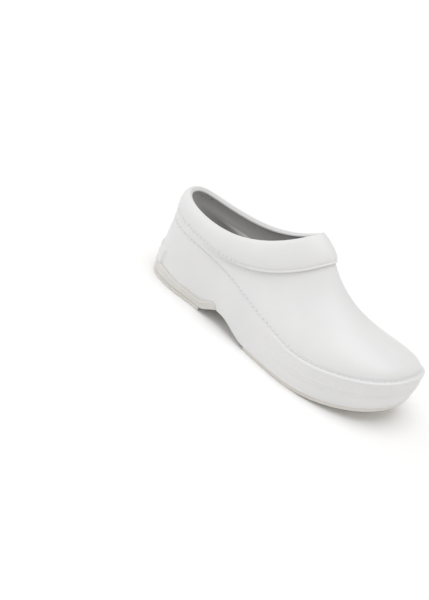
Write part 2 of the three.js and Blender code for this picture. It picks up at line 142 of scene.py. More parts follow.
UPPER_COLUMNS = 360
STRIP_COLUMNS = 1400
MIDSOLE_STATIONS = 170
INSOLE_STATIONS = 120
FORE_PAD_STATIONS = 330
HEEL_PAD_STATIONS = 210
ROW_STEP = 1


def smooth(value, start, end):
    t = np.clip((value - start) / (end - start), 0, 1)
    return t * t * (3 - 2 * t)


def mix(a, b, t):
    return a + (b - a) * t


def unit(vectors):
    return vectors / np.maximum(np.linalg.norm(vectors, axis=-1, keepdims=True), 1e-12)


def closed_spline(values):
    """A smooth closed curve through one value a section, with continuous curvature."""
    n = len(values)
    ones = np.eye(n)
    system = 4 * ones + np.roll(ones, 1, 0) + np.roll(ones, -1, 0)
    bend = np.linalg.solve(system, 6 * (np.roll(values, 1) - 2 * values + np.roll(values, -1)))

    def at(u):
        i = np.floor(u).astype(int)
        t = u - i
        s = 1 - t
        here = i % n
        after = (i + 1) % n
        ends = s * values[here] + t * values[after]
        return ends + ((s**3 - s) * bend[here] + (t**3 - t) * bend[after]) / 6

    return at


CURVES = {name: closed_spline(SECTIONS[:, k]) for k, name in enumerate(COLUMNS)}
CURVES["angle"] = closed_spline(SECTIONS[:, 2] - 180 + TURN * np.arange(COUNT))


def spring(x):
    return TOE_SPRING * np.maximum(0, (x / LENGTH - SPRING_START) / (1 - SPRING_START)) ** 2


def arch(x):
    share = x / LENGTH
    return ARCH_RISE * smooth(share, *ARCH_UP) * (1 - smooth(share, *ARCH_DOWN))


def underside(x):
    return PAD_THICKNESS + CLEARANCE + spring(x) + arch(x)


def rim_top(x):
    share = x / LENGTH
    fall = (RIM_HEIGHT + 2 * RIM_BREAST_RISE) * smooth(share, *RIM_DOWN)
    back = RIM_BACK_RISE * (1 - smooth(share, *RIM_BACK))
    return RIM_HEIGHT + back + RIM_BREAST_RISE * smooth(share, *RIM_UP) - fall


def rim_share(x):
    return 1 - smooth(x / LENGTH, *RIM_FADE)


def footbed(x, y):
    share = x / LENGTH
    cup = CUP_DEPTH * (1 - smooth(share, *CUP_FADE)) * np.minimum(1, np.abs(y) / (HEEL_WIDTH / 2)) ** 4
    return mix(HEEL_SEAT, BALL_SEAT, smooth(share, *SEAT_FALL)) + FOOTBED_SPRING * spring(x) + cup


def outline(u):
    """Outline of the sole on the ground and its outward direction."""

    def place(v):
        along = CURVES["along"](v)
        width = mix(HEEL_WIDTH, BALL_WIDTH, smooth(along, *WIDENING))
        return np.stack([along * LENGTH, CURVES["across"](v) * width, 0 * along], -1)

    step = 0.001
    tangent = unit(place(u + step) - place(u - step))
    outward = np.stack([tangent[..., 1], -tangent[..., 0], 0 * u], -1)
    return place(u), outward


def collar_point(line, angle):
    """A line round the collar at an angle: 0 in front, 180 at the back."""
    c = np.cos(angle)
    s = np.sin(angle)
    power = 2 / (2 + line["full"] * smooth(-c, -0.2, 1))
    along = np.sign(c) * np.abs(c) ** power
    across = np.sign(s) * np.abs(s) ** power
    level = (line["front"] + line["back"]) / 2 - line["side"]
    twist = (line["front"] - line["back"]) / 2 - line["slope"]
    height = line["side"] + line["slope"] * c + level * c**2 + twist * c**3
    x = mix(line["start"], line["end"], (1 + along) / 2)
    return np.stack([x, line["offset"] - across * line["width"] / 2, height], -1)


def section(u, relief):
    """Curves of the sections at u: side wall, vamp or quarter, and cuff."""
    value = {name: curve(u) for name, curve in CURVES.items()}
    point, outward = outline(u)
    ledge = np.clip(value["ledge"], 0, 1)[:, None]
    x = point[:, 0]
    inset = (RIM_PROUD * rim_share(x))[:, None]
    foot = point - outward * inset + UP * underside(x)[:, None]
    seam_height = PAD_THICKNESS + CLEARANCE + spring(x) + value["side"] * SIDE_HEIGHT
    seam = point + outward * (value["tuck"][:, None] * SIDE_TUCK - inset) + UP * seam_height[:, None]
    height = (seam - foot)[:, 2:]
    flare = np.radians(value["flare"])[:, None]
    lean = np.radians(value["lean"])[:, None]

    def wall_top(angle):
        return UP * np.cos(angle) - outward * np.sin(angle)

    start = seam - outward * LEDGE_WIDTH * ledge - UP * LEDGE_DROP * ledge
    start = start + wall_top(lean) * LEDGE_DROP * (1 - ledge)
    top = seam if relief else start
    side = (
        foot,
        foot + wall_top(-flare) * SIDE_HANDLE * height,
        top - wall_top(lean * (1 - ledge * relief)) * SIDE_HANDLE * height,
        top,
    )
    angle = np.radians(value["angle"] + 180 - TURN * u)
    cuff = collar_point(CUFF_LINE, angle)
    collar = collar_point(COLLAR_LINE, angle)
    span = np.linalg.norm(cuff - start, axis=1)[:, None]
    inward = (cuff - start) * [1, 1, 0] - outward * INWARD_PULL
    inward = unit(inward)
    start_direction = -outward * (1 - ledge) + inward * ledge
    splay = np.radians(value["splay"])[:, None]
    rise = value["rise"][:, None] * span
    reach = value["reach"][:, None] * span
    vamp = (
        start,
        start + UP * rise * np.cos(lean) + start_direction * rise * np.sin(lean),
        cuff - UP * reach * np.cos(splay) - inward * reach * np.sin(splay),
        cuff,
    )
    depth = CUFF_LINE["end"] - CUFF_LINE["start"]
    radial = unit(np.stack([np.cos(angle) / depth, -np.sin(angle) / CUFF_LINE["width"], 0 * angle], -1))
    front = (np.maximum(0, np.cos(angle)) ** 2)[:, None]
    fade = smooth(np.cos(angle), *CUFF_STEP_FADE)[:, None]
    step = relief * CUFF_STEP * fade * (1 - CUFF_STEP_FRONT_LOSS * front)
    cuff_start = cuff + radial * step + UP * CUFF_STEP_RISE * relief
    hold = CUFF_HOLD * (collar - cuff_start)[:, 2:]
    bulge = CUFF_BULGE + CUFF_FRONT_BULGE * front
    drop = CUFF_DROP + CUFF_FRONT_DROP * front
    band = (
        cuff_start,
        cuff_start + UP * hold + radial * hold * CUFF_FLARE * (1 - front),
        collar + radial * bulge - UP * drop,
        collar,
    )
    return dict(
        side=side, vamp=vamp, band=band, outward=outward, radial=radial, collar=collar,
        ledge=ledge[:, 0], point=point, turn=np.cos(angle),
    )


def bezier(control, t):
    """Points of every section's curve: t is one row for all sections, or one row for each."""
    a, b, c, d = (p[:, None, :] for p in control)
    t = np.broadcast_to(t, (len(control[0]), np.shape(t)[-1]))[:, :, None]
    s = 1 - t
    return a * s**3 + 3 * b * s * s * t + 3 * c * s * t * t + d * t**3


def share_at_height(side, height):
    """Share of the side wall's curve that lies at a height, for every section."""
    low = np.zeros(len(height))
    high = np.ones(len(height))
    for _ in range(30):
        middle = (low + high) / 2
        under = bezier(side, middle[:, None])[:, 0, 2] < height
        low = np.where(under, middle, low)
        high = np.where(under, high, middle)
    return low


def edge_height(x):
    """Bottom edge of the upper: on the heel rim, and at the underside further forward."""
    return np.maximum(underside(x), rim_top(x) - BOND)


def side_points(cut, shares):
    """The side wall from the upper's bottom edge to its top."""
    low = share_at_height(cut["side"], edge_height(cut["point"][:, 0]))[:, None]
    return bezier(cut["side"], mix(low, 1, shares[None, :]))


def side_at(cut, height):
    """The point of the side wall at one height a section."""
    low = share_at_height(cut["side"], height)[:, None]
    return bezier(cut["side"], low)[:, 0]


def inner_rows(u, name, shares):
    """The plain form's vamp or band, moved in by the wall along its normal."""
    small = 0.01
    plain = section(u, 0)[name]
    across = bezier(section(u + small, 0)[name], shares) - bezier(section(u - small, 0)[name], shares)
    along = bezier(plain, np.minimum(1, shares + small)) - bezier(plain, np.maximum(0, shares - small))
    return bezier(plain, shares) - unit(np.cross(across, along)) * WALL


def line_between(a, b, count):
    """Points between two rows of points, without their ends."""
    t = np.linspace(0, 1, count + 2)[1:-1][None, :, None]
    return a[:, None, :] * (1 - t) + b[:, None, :] * t


# Rounded lofts. Columns are rounded some at a time, which keeps the memory small

CHUNK = 40
PLAIN_SIGMA = 0.4
LEAST_SIGMA = 0.25
KNOT_ROOM = 2.5


def round_loft(points, where, sigma):
    """Points of each column's dense line at the positions where, rounded by a bell of width sigma."""
    steps = np.linalg.norm(np.diff(points, axis=1), axis=2)
    length = np.concatenate([np.zeros((len(points), 1)), np.cumsum(steps, 1)], 1)
    weight = np.zeros_like(length)
    weight[:, :-1] += steps / 2
    weight[:, 1:] += steps / 2
    result = np.empty(where.shape + (3,))
    for first in range(0, len(points), CHUNK):
        part = slice(first, first + CHUNK)
        gap = where[part][:, :, None] - length[part][:, None, :]
        bell = np.exp(-0.5 * (gap / sigma[part][:, :, None]) ** 2) * weight[part][:, None, :]
        result[part] = np.einsum("crs,csk->crk", bell, points[part]) / bell.sum(2)[:, :, None]
    return result


def spread(count, ends):
    """Shares from 0 up to 1, the last left out, closer together at both ends."""
    t = np.arange(count) / count
    return mix(t, (1 - np.cos(np.pi * t)) / 2, ends)


def bell(distance, width):
    return np.exp(-((distance / width) ** 2))


def knot_sigma(where, knots, widths):
    """Width of the rounding bell: the plain one, and its own near each knot."""
    sigma = np.full(where.shape, PLAIN_SIGMA)
    for k, width in enumerate(widths):
        value = np.broadcast_to(np.asarray(width, float), (len(where),))[:, None]
        sigma += bell(where - knots[:, k : k + 1], KNOT_ROOM) * (value - PLAIN_SIGMA)
    return np.maximum(sigma, LEAST_SIGMA)


def grid_normals(points, rows_closed):
    """Outward normals of a grid of points whose columns close round the shoe."""
    across = np.roll(points, -1, 0) - np.roll(points, 1, 0)
    if rows_closed:
        along = np.roll(points, -1, 1) - np.roll(points, 1, 1)
    else:
        along = np.gradient(points, axis=1)
    return unit(np.cross(across, along))


# The upper: one closed profile a column, from the outer bottom edge up over the vamp,
# round the collar and down the inside

# Name, dense samples, rows of the mesh, and how much closer the rows lie at the part's ends
PARTS = (
    ("side", 100, 56, 0.5),
    ("ledge", 16, 10, 0.3),
    ("vamp", 260, 82, 0.8),
    ("step", 8, 5, 0.3),
    ("band", 90, 34, 0.7),
    ("lip", 20, 18, 0.2),
    ("inner_band", 50, 12, 0.5),
    ("inner_vamp", 220, 20, 0.5),
    ("inner_side", 60, 10, 0.5),
    ("bottom", 12, 8, 0.5),
)
NAMES = [part[0] for part in PARTS]
DENSE = {part[0]: part[1] for part in PARTS}
INNER_TOP = 0.72
LEDGE = NAMES.index("ledge")
BAND = NAMES.index("band")
LIP = NAMES.index("lip")
INNER_BAND = NAMES.index("inner_band")


def upper_profile(u):
    """Dense closed profile of every column, and the arc length where each of its parts starts."""
    cut = section(u, 1)
    plain = section(u, 0)
    side = side_points(cut, np.linspace(0, 1, DENSE["side"]))
    vamp = bezier(cut["vamp"], np.linspace(0, 1, DENSE["vamp"]))
    band = bezier(cut["band"], np.linspace(0, 1, DENSE["band"]))
    turn = np.linspace(0, np.pi / 2, DENSE["lip"] + 1)[1:]
    lip = cut["collar"][:, None] - cut["radial"][:, None] * LIP_RADIUS * np.sin(turn)[None, :, None]
    lip = lip - UP * LIP_RADIUS * (1 - np.cos(turn))[None, :, None]
    inner_side = side_points(plain, np.linspace(1, 0, DENSE["inner_side"]))
    inner_side = inner_side - plain["outward"][:, None] * WALL
    pieces = [
        side,
        line_between(side[:, -1], vamp[:, 0], DENSE["ledge"]),
        vamp,
        line_between(vamp[:, -1], band[:, 0], DENSE["step"]),
        band,
        lip,
        inner_rows(u, "band", np.linspace(INNER_TOP, 0, DENSE["inner_band"])),
        inner_rows(u, "vamp", np.linspace(1, 0, DENSE["inner_vamp"])),
        inner_side,
        line_between(inner_side[:, -1], side[:, 0], DENSE["bottom"]),
    ]
    loop = np.concatenate(pieces, 1)
    starts = np.cumsum([0] + [p.shape[1] for p in pieces])[:-1]
    steps = np.linalg.norm(np.diff(np.concatenate([loop, loop[:, :1]], 1), axis=1), axis=2)
    length = np.concatenate([np.zeros((len(u), 1)), np.cumsum(steps, 1)], 1)
    knots = np.stack([length[:, i] for i in starts] + [length[:, -1]], 1)
    return cut, loop, knots


# Samples of the loop repeated before and after it, so that its rounding has no end
WRAP = 40


def upper_points(where, knots, loop, cut):
    """Points of the rounded profile at the arc lengths where, one rounding width a knot."""
    ledge = cut["ledge"]
    at_ledge = (mix(1.2, 0.6, ledge), mix(1.5, 0.8, ledge))
    at_cuff = (0.45, 0.55, 0.5, 0.7)
    inside = (1.5, 2.0)
    at_bottom = (0.5, 0.45)
    widths = (at_bottom[1], *at_ledge, *at_cuff, *inside, *at_bottom)
    wrapped = np.concatenate([loop[:, -WRAP:], loop, loop[:, : WRAP + 1]], 1)
    before = np.linalg.norm(np.diff(wrapped[:, : WRAP + 1], axis=1), axis=2).sum(1)[:, None]
    sigma = knot_sigma(where, knots, widths)
    return round_loft(wrapped, where + before, sigma)


# Reliefs of the outside: the place in mm along the profile, upward from the line that it follows,
# and the height and the half width of its bell. A height below 0 is a groove
SEAM_BEAD = dict(place=0.9, height=0.7, width=0.75)
SEAM_BAND = dict(place=4.0, height=0.45, width=1.4)
SEAM_RIDGE = dict(place=7.0, height=0.15, width=0.7)
CUFF_BEAD = dict(place=0.2, height=0.75, width=0.75)
CUFF_GROOVE_OVER = dict(place=2.1, height=-0.5, width=0.7)
CUFF_GROOVE_UNDER = dict(place=-1.5, height=-0.45, width=0.6)
EDGE_BEAD = dict(place=1.2, height=0.35, width=0.6)
EDGE_GROOVE = dict(place=2.5, height=-0.3, width=0.5)
LIP_EDGE = dict(place=-1.4, height=-0.2, width=0.6)
LIP_GROOVE = dict(place=2.6, height=-0.55, width=0.6)

# The forefoot's ribs, as shares of the way from its bottom edge to the seam
RIB_SHARES = (0.46, 0.58)
RIB_WIDTH = 0.5

# The stitching's middle over the seam and over the cuff's lower edge, its half width, and the
# trough under it
STITCH_AT = 4.0
CUFF_STITCH_AT = 2.2
STITCH_REACH = 1.9
TROUGH_DEPTH = 1.3
TROUGH_WALL = (0.6, 1.1)


def raised(distance, relief):
    return relief["height"] * bell(distance - relief["place"], relief["width"])


def seam_relief(distance, ledge):
    """Bead along the forefoot's seam, the stitched band beside it, and a faint ridge above."""
    bead = raised(distance, SEAM_BEAD) * smooth(ledge, 0.02, 0.5)
    band = raised(distance, SEAM_BAND) * smooth(ledge, 0.1, 0.7)
    ridge = raised(distance, SEAM_RIDGE) * smooth(ledge, 0.2, 0.9)
    return bead + band + ridge


def cuff_relief(distance, turn):
    """Bead along the cuff's lower edge with a fine groove on either side, in front of the heel."""
    over = raised(distance, CUFF_GROOVE_OVER) * smooth(turn, 0.10, 0.35)
    edge = raised(distance, CUFF_BEAD) + raised(distance, CUFF_GROOVE_UNDER)
    return (edge + over) * smooth(turn, -0.40, -0.10)


def side_relief(where, seam, ledge):
    """Two fine ribs round the forefoot, and a bead with a groove over its bottom edge."""
    lift = raised(where, EDGE_BEAD) + raised(where, EDGE_GROOVE)
    for share in RIB_SHARES:
        lift = lift + RIB_HEIGHT * bell(where - share * seam, RIB_WIDTH)
    return lift * smooth(ledge, 0.2, 0.8)


def outer_relief(cut, knots, where):
    """Height over the plain outside and the lip, for the shell and for the strips laid in it."""
    ledge = cut["ledge"][:, None]
    seam = knots[:, LEDGE : LEDGE + 1]
    lip = knots[:, LIP : LIP + 1]
    lift = seam_relief(where - seam, ledge) + side_relief(where, seam, ledge)
    lift = lift + cuff_relief(where - knots[:, BAND : BAND + 1], cut["turn"][:, None])
    return lift * (where < lip) + raised(where - lip, LIP_EDGE) + raised(where - lip, LIP_GROOVE)


def trough(distance):
    """A narrow trough under the stitching strip, which covers its edges."""
    return -TROUGH_DEPTH * (1 - smooth(np.abs(distance), *TROUGH_WALL))


# The kick tab's edge: extra columns, the side's and the top's ramp, and a groove beside it. All
# are in mm beyond the edge, but for the groove's height, which is a share of the tab's
TAB_COLUMNS = np.linspace(-1.0, 2.0, 13)
TAB_SIDE_RAMP = (-0.7, 0.1)
TAB_TOP_RAMP = (-1.2, 0.1)
TAB_GROOVE = dict(place=0.7, height=-0.35, width=0.5)
TAB_FRONT_SHARE = 0.1


def upper_columns():
    """Even columns round the shoe, with more where the kick tab's edges are."""
    pitch = COUNT / UPPER_COLUMNS
    u = np.arange(UPPER_COLUMNS) * pitch
    table = np.linspace(0, 1.5, 3001)
    across = -outline(table)[0][:, 1]
    extra = np.interp(TAB_WIDTH / 2 + TAB_COLUMNS, across, table)
    extra = np.concatenate([extra, COUNT - extra])
    apart = np.abs(u[:, None] - extra[None, :]).min(1) > 0.6 * pitch
    return np.sort(np.concatenate([u[apart], extra]))


def spaced_rows(knots, shares_of_rows):
    """Arc lengths of the rows between each pair of knots, closer together at the part's ends."""
    rows = []
    for k, (count, ends) in enumerate(shares_of_rows):
        length = knots[:, k + 1 : k + 2] - knots[:, k : k + 1]
        rows.append(knots[:, k : k + 1] + spread(count, ends)[None, :] * length)
    return rows


def tab_lift(points):
    """1 on the kick tab at the heel's back, 0 round it, and below 0 in the groove at its sides."""
    beyond = np.abs(points[:, :, 1]) - TAB_WIDTH / 2
    lift = 1 - smooth(beyond, *TAB_SIDE_RAMP) + raised(beyond, TAB_GROOVE)
    lift *= 1 - smooth(points[:, :, 2] - TAB_HEIGHT, *TAB_TOP_RAMP)
    return lift * (points[:, :, 0] < TAB_FRONT_SHARE * LENGTH)


def pebble_share(where, seam, ledge):
    """Where the side wall is pebbled: round the forefoot between the ribs and the seam."""
    share = where / seam
    over_ribs = smooth(share, RIB_SHARES[1] + 0.02, RIB_SHARES[1] + 0.08)
    return smooth(ledge, 0.05, 0.5) * over_ribs * smooth(seam - where, 1.5, 2.6)


def build_upper():
    """Points of the shell, column by column, and how strongly each is pebbled."""
    cut, loop, knots = upper_profile(upper_columns())
    where = spaced_rows(knots, [(max(4, rows // ROW_STEP), ends) for _, _, rows, ends in PARTS])
    where = np.concatenate(where, 1)
    points = upper_points(where, knots, loop, cut)
    seam = knots[:, LEDGE : LEDGE + 1]
    lift = outer_relief(cut, knots, where) + trough(where - seam - STITCH_AT)
    cuff = where - knots[:, BAND : BAND + 1] - CUFF_STITCH_AT
    lift = lift + trough(cuff) * cuff_stitch_share(cut["turn"])[:, None]
    points = points + grid_normals(points, True) * lift[:, :, None]
    on_side = where < seam
    points = points + cut["outward"][:, None, :] * (TAB_PROUD * tab_lift(points) * on_side)[:, :, None]
    return points, pebble_share(where, seam, cut["ledge"][:, None]) * on_side


def cuff_stitch_share(turn):
    """Where the cuff carries stitches: round the heel and along the side, not in front."""
    return 1 - smooth(turn, 0.15, 0.30)


# Meshes


def to_row(points):
    """From the heel-based millimetres of the shapes to the row frame in metres."""
    return (points - SHIFT) * 0.001


def make_mesh(name, vertices, faces, material):
    mesh = bpy.data.meshes.new(name)
    mesh.from_pydata(to_row(np.asarray(vertices)).tolist(), [], faces)
    mesh.validate()
    mesh.update()
    mesh.shade_smooth()
    mesh.materials.append(material)
    piece = bpy.data.objects.new(name, mesh)
    bpy.context.scene.collection.objects.link(piece)
    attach(piece, "root")
    return piece


def ring_faces(columns, rows, close_columns):
    """Quads of a grid of vertices, numbered column by column, whose rows close."""
    faces = []
    for i in range(columns if close_columns else columns - 1):
        j = (i + 1) % columns
        for k in range(rows):
            m = (k + 1) % rows
            faces.append((i * rows + k, j * rows + k, j * rows + m, i * rows + m))
    return faces


def add_attribute(piece, name, values):
    layer = piece.data.attributes.new(name, "FLOAT", "POINT")
    layer.data.foreach_set("value", np.asarray(values, np.float32).ravel())


# Stitching: a narrow strip along each seam with real holes and raised threads

STITCH_PITCH = 4.8
STITCH_ROWS = np.linspace(-STITCH_REACH, STITCH_REACH, 13)
STRIP_THICKNESS = 0.5
STRIP_LIFT = 0.03
STRIP_EDGE = 0.35
STRIP_DIVE = 0.4
HOLE_RADIUS = 0.62
HOLE_DEPTH = 0.65
THREAD_HEIGHT = 0.2
THREAD_WIDTH = 0.65
THREAD_ENDS = (0.5, 1.1)


def stitch_height(arc, off, pitch, amount):
    """Height over the surface of one stitched strip, whose edges dive under it."""
    phase = (arc / pitch) % 1
    to_hole = np.minimum(phase, 1 - phase) * pitch
    hole = bell(np.hypot(to_hole, off), HOLE_RADIUS)
    thread = np.sqrt(np.maximum(0, 1 - (off / THREAD_WIDTH) ** 2)) * smooth(to_hole, *THREAD_ENDS)
    edge = smooth(np.abs(off), STITCH_REACH - STRIP_EDGE, STITCH_REACH)
    return amount * (THREAD_HEIGHT * thread - HOLE_DEPTH * hole) + STRIP_LIFT - STRIP_DIVE * edge


def stitched_strip(knot, shift, share):
    """Face of a strip along the profile's knot, its normals, and the columns that carry stitches."""
    cut, loop, knots = upper_profile(np.arange(STRIP_COLUMNS) * COUNT / STRIP_COLUMNS)
    where = knots[:, knot : knot + 1] + shift + STITCH_ROWS[None, :]
    base = upper_points(where, knots, loop, cut)
    middle = base[:, len(STITCH_ROWS) // 2]
    steps = np.linalg.norm(np.roll(middle, -1, 0) - middle, axis=1)
    arc = np.concatenate([[0], np.cumsum(steps)])
    pitch = arc[-1] / round(arc[-1] / STITCH_PITCH)
    normals = grid_normals(base, False)
    amount = share(cut)[:, None]
    lift = outer_relief(cut, knots, where)
    lift = lift + stitch_height(arc[:-1, None], STITCH_ROWS[None, :], pitch, amount)
    return base + normals * lift[:, :, None], normals, amount[:, 0] > 0.01


def strip_mesh(name, points, normals, keep, slot, material):
    """The strip as a thin closed body: its face and a back under it."""
    back = points - normals * STRIP_THICKNESS
    both = np.concatenate([points, back[:, ::-1]], 1)
    columns, around = both.shape[:2]
    if keep.all():
        return make_mesh(name, both.reshape(-1, 3), ring_faces(columns, around, True), material)
    order = np.roll(np.arange(columns), -int(np.argmax(~keep)))
    order = order[keep[order]]
    faces = ring_faces(len(order), around, False)
    faces.append(tuple(range(around)))
    faces.append(tuple(reversed(range((len(order) - 1) * around, len(order) * around))))
    return make_mesh(name, both[order].reshape(-1, 3), faces, material)


# Two small moulded nubs inside the collar's back, by section, and their distance under the lip

NUB_SECTIONS = (15.27, 14.87)
NUB_UNDER_LIP = 3.4
NUB_RADIUS = 1.9
NUB_HEIGHT = 1.7


def build_nubs(material):
    """Both nubs as one piece of two closed domes, sunk a little into the shell."""
    vertices = []
    faces = []
    around = np.linspace(0, 2 * np.pi, 16, endpoint=False)
    rise = np.linspace(-0.5, np.pi / 2, 8)[:-1]
    for place in NUB_SECTIONS:
        cut, loop, knots = upper_profile(place + np.linspace(-0.02, 0.02, 3))
        where = knots[:, INNER_BAND : INNER_BAND + 1] + NUB_UNDER_LIP + np.linspace(-0.4, 0.4, 3)
        patch = upper_points(where, knots, loop, cut)
        centre = patch[1, 1]
        along = unit(patch[2, 1] - patch[0, 1])
        normal = unit(np.cross(along, patch[1, 2] - patch[1, 0]))
        across = np.cross(normal, along)
        first = len(vertices)
        for angle in rise:
            out = NUB_RADIUS * np.cos(angle)
            circle = np.cos(around)[:, None] * along + np.sin(around)[:, None] * across
            vertices.extend(centre + out * circle + NUB_HEIGHT * np.sin(angle) * normal)
        vertices.append(centre + NUB_HEIGHT * normal)
        ring = len(around)
        for k in range(len(rise) - 1):
            for i in range(ring):
                j = (i + 1) % ring
                low = first + k * ring
                faces.append((low + i, low + j, low + ring + j, low + ring + i))
        last = first + (len(rise) - 1) * ring
        for i in range(ring):
            faces.append((last + i, last + (i + 1) % ring, len(vertices) - 1))
        faces.append(tuple(reversed(range(first, first + ring))))
    return make_mesh("rim_nubs", vertices, faces, material)


# Sole pieces: columns at stations along x, with the outer and the inner edge at the same x

TABLE_U = np.linspace(-0.4, COUNT - 0.4, 16001)
TABLE_X = outline(TABLE_U)[0][:, 0]
HEEL_U = TABLE_U[np.argmin(TABLE_X)]
TIP_U = TABLE_U[np.argmax(TABLE_X)]
HEEL_X = TABLE_X.min()
TIP_X = TABLE_X.max()


def outer_u(x):
    part = (TABLE_U >= HEEL_U) & (TABLE_U <= TIP_U)
    return np.interp(x, TABLE_X[part], TABLE_U[part])


def inner_u(x):
    table = np.linspace(TIP_U, HEEL_U + COUNT, 16001)
    place = outline(table)[0][:, 0]
    return np.interp(x, place[::-1], table[::-1])


def round_stations(count):
    """Stations from heel to toe, closer together toward both rounded ends."""
    t = (np.arange(count) + 0.5) / count
    return mix(HEEL_X, TIP_X, (1 - np.cos(np.pi * t)) / 2)


# How much closer a pad's stations lie at its rounded end, and where they stop, short of the tip
PAD_EASE = 0.6
PAD_END = 0.9998


def pad_stations(straight, rounded, count):
    """Stations from a straight breast to a rounded end, closer together toward that end."""
    t = np.arange(count) / count
    return straight + (rounded - straight) * mix(t, np.sin(np.pi / 2 * t), PAD_EASE) * PAD_END


def station_ring(stations, heel_end, toe_end):
    """u of the ring's columns: outer side forward, then inner side back. An end is one column."""
    ring = [outer_u(stations), inner_u(stations)[::-1]]
    if toe_end:
        ring.insert(1, [TIP_U])
    if heel_end:
        ring.insert(0, [HEEL_U])
    return np.concatenate(ring)


EDGE_SAMPLES = 59


def rounded_ring(corners, sigma, rows):
    """Rows of points through the corner lines of every column, with rounded corners."""
    dense = []
    for a, b in zip(corners[:-1], corners[1:]):
        t = np.linspace(0, 1, EDGE_SAMPLES + 1)[None, :-1, None]
        dense.append(a[:, None] * (1 - t) + b[:, None] * t)
    dense = np.concatenate(dense + [corners[-1][:, None]], 1)
    steps = np.linalg.norm(np.diff(dense, axis=1), axis=2)
    length = np.concatenate([np.zeros((len(dense), 1)), np.cumsum(steps, 1)], 1)
    knots = length[:, ::EDGE_SAMPLES]
    where = np.concatenate(spaced_rows(knots, [(count, 0.5) for count in rows]) + [knots[:, -1:]], 1)
    result = round_loft(dense, where, np.full(where.shape, sigma))
    result[:, 0] = corners[0]
    result[:, -1] = corners[-1]
    return result


def edge_faces(rings, heel_end, toe_end):
    """Quads up the edge of a sole piece. Across a straight breast there are none."""
    columns, rows = rings.shape[:2]
    breast = None
    if not heel_end:
        breast = columns - 1
    elif not toe_end:
        breast = (columns - 1) // 2
    faces = []
    for i in range(columns):
        j = (i + 1) % columns
        if i != breast:
            for k in range(rows - 1):
                faces.append((i * rows + k, j * rows + k, j * rows + k + 1, i * rows + k + 1))
    return faces


def cap_faces(ring, index, across, heel_end, toe_end, height, vertices, upward):
    """A grid between the outer and the inner edge of one ring, station by station."""
    n = len(ring)
    lines = []
    for k in range((n - heel_end - toe_end) // 2):
        a = k + heel_end
        b = n - 1 - k
        t = np.linspace(0, 1, across + 2)[1:-1, None]
        inside = ring[a] * (1 - t) + ring[b] * t
        inside[:, 2] = height(inside[:, 0], inside[:, 1])
        first = len(vertices)
        vertices.extend(inside.tolist())
        lines.append([index[a], *range(first, first + across), index[b]])
    faces = []
    for lower, upper in zip(lines[:-1], lines[1:]):
        for j in range(across + 1):
            faces.append((lower[j], upper[j], upper[j + 1], lower[j + 1]))
    if heel_end:
        for j in range(across + 1):
            faces.append((index[0], lines[0][j], lines[0][j + 1]))
    if toe_end:
        tip = index[len(lines) + heel_end]
        for j in range(across + 1):
            faces.append((lines[-1][j], tip, lines[-1][j + 1]))
    if not upward:
        faces = [tuple(reversed(face)) for face in faces]
    return faces, lines


def breast_face(columns, rows, toe_end, under_lines, over_lines):
    """The straight face across a pad at its breast, as one flat polygon."""
    at = 0 if toe_end else (columns - 1) // 2
    opposite = columns - 1 if toe_end else at + 1
    lower = under_lines[0] if toe_end else under_lines[-1]
    upper = over_lines[0] if toe_end else over_lines[-1]
    outer_edge = [at * rows + k for k in range(1, rows - 1)]
    inner_edge = [opposite * rows + k for k in range(1, rows - 1)]
    loop = [*lower, *inner_edge, *reversed(upper), *reversed(outer_edge)]
    return tuple(reversed(loop)) if toe_end else tuple(loop)


def sole_piece(name, node, rings, ends, under, over, across, material):
    """A body from rings, with grids of faces under and over it, that stands for a solid."""
    columns, rows = rings.shape[:2]
    vertices = rings.reshape(-1, 3).tolist()
    low = [i * rows for i in range(columns)]
    high = [i * rows + rows - 1 for i in range(columns)]
    faces = edge_faces(rings, *ends)
    under_faces, under_lines = cap_faces(rings[:, 0], low, across[0], *ends, under, vertices, False)
    over_faces, over_lines = cap_faces(rings[:, -1], high, across[1], *ends, over, vertices, True)
    faces += under_faces + over_faces
    if not all(ends):
        faces.append(breast_face(columns, rows, ends[1], under_lines, over_lines))
    piece = make_mesh(name, vertices, faces, material)
    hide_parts(node)
    return piece


# The heel rim's bead: how far it stands out, and its lower and upper edge under the rim's top
RIM_BEAD = 0.5
RIM_BEAD_LOW = 2.7
RIM_BEAD_HIGH = 2.2


def build_midsole(material):
    """The block inside the shell, whose rim with its bead shows round the heel."""
    u = station_ring(round_stations(MIDSOLE_STATIONS), True, True)
    cut = section(u, 0)
    x = cut["point"][:, 0]
    floor = underside(x)
    top = np.maximum(rim_top(x), floor + 0.02)
    flange = smooth(rim_top(x) - floor, 0.3, 2.5)
    groove = -(WALL - 0.1) + 0 * x
    rim = mix(groove, RIM_PROUD * rim_share(x), flange)
    face = rim - RIM_BEAD * flange

    def at(height, out):
        place = side_at(cut, np.clip(height, floor, cut["side"][3][:, 2]))
        place = place + cut["outward"] * out[:, None]
        place[:, 2] = height
        return place

    inner = at(top, groove)
    bed = footbed(inner[:, 0], inner[:, 1])
    corners = [
        at(floor, mix(rim - 3, rim - 6, flange)),
        at(floor, face - 0.5),
        at(np.minimum(floor + 0.8, top - 0.01), face),
        at(mix(floor + 0.9, top - RIM_BEAD_LOW, flange), face),
        at(mix(floor + 0.95, top - RIM_BEAD_HIGH, flange), rim),
        at(mix(floor + 1.0, top - 0.5, flange), rim),
        at(mix(floor + 1.1, top, flange), rim - 0.6 * flange),
        at(mix(floor + 1.6, top, flange), groove),
        at(bed, groove),
        at(bed, groove - 4),
    ]
    rings = rounded_ring(corners, 0.4, (5, 4, 8, 4, 4, 4, 4, 12, 4))
    rings[:, 0, 2] = underside(rings[:, 0, 0])
    return sole_piece(
        "midsole_body", "midsole", rings, (True, True), lambda x, y: underside(x), footbed, (24, 24),
        material,
    )


